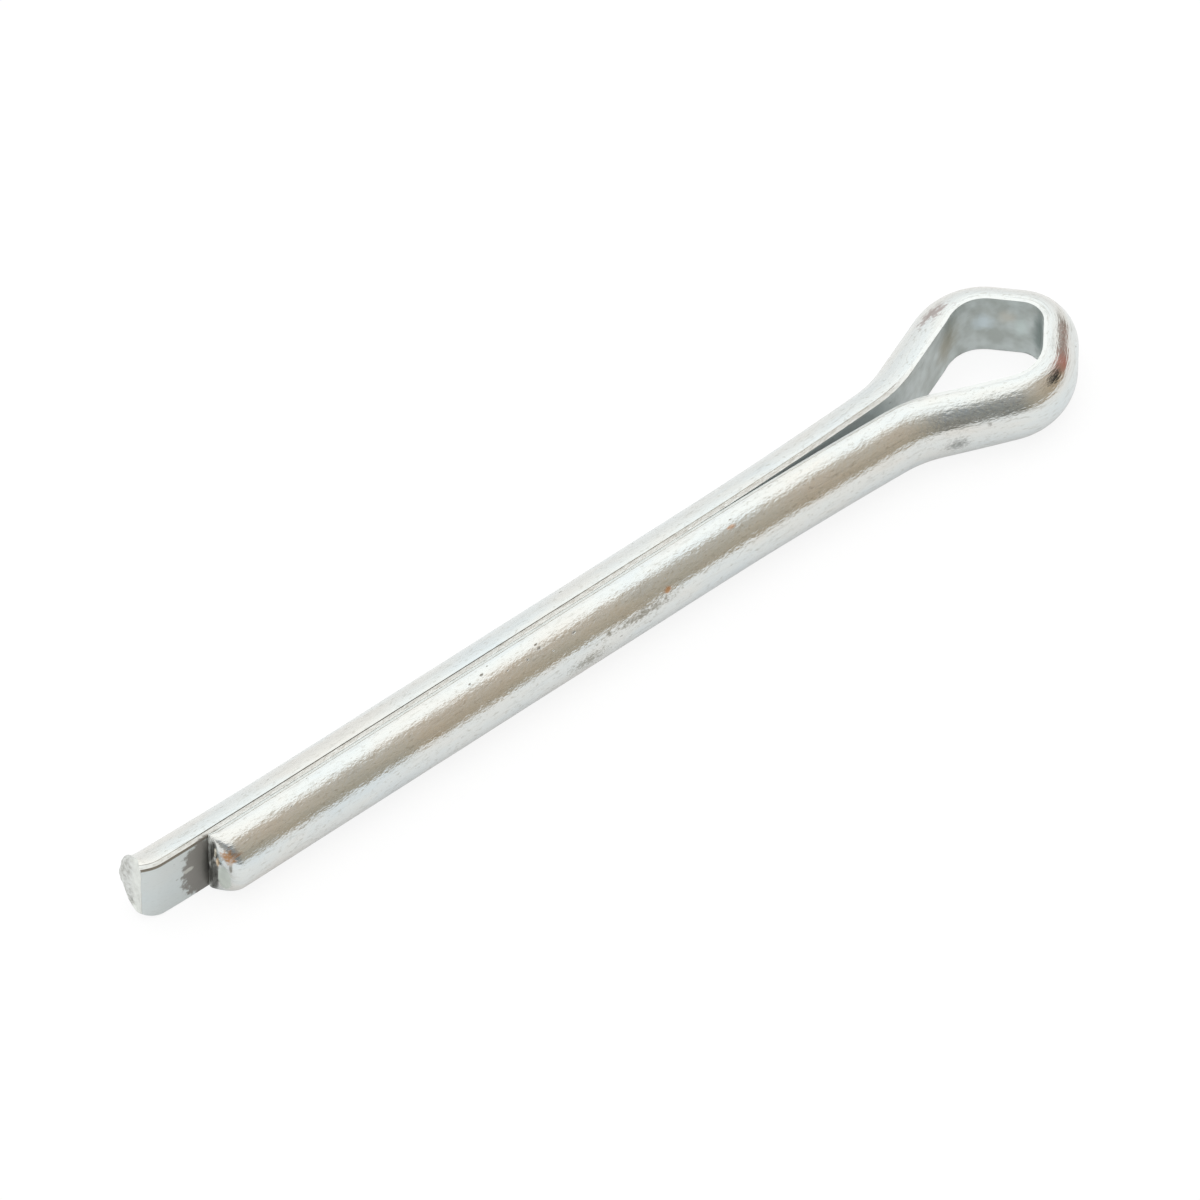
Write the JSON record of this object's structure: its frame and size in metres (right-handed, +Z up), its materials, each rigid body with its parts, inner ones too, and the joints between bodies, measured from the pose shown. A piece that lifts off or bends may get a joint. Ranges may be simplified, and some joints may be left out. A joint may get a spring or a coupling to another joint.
{
  "type": "cotter pin",
  "caption": "Split cotter pin of folded half-round wire with a kite-shaped eye and one leg longer than the other.",
  "frame": {"origin": "centre of the pin's bounding box in plan, on the surface that the pin lies on", "axes": "+X along the shank towards the eye, +Y from the short leg to the long leg, +Z up, square to the plane of the eye"},
  "size_m": [0.052, 0.008, 0.0035],
  "materials": {
    "zinc_plated_steel": "bright zinc plating over cold-drawn wire, with fine drawing lines, small pits, rubbed edges and a few specks of rust"
  },
  "bodies": {
    "root": {"cotter_pin": "zinc_plated_steel"}
  },
  "joints": []
}
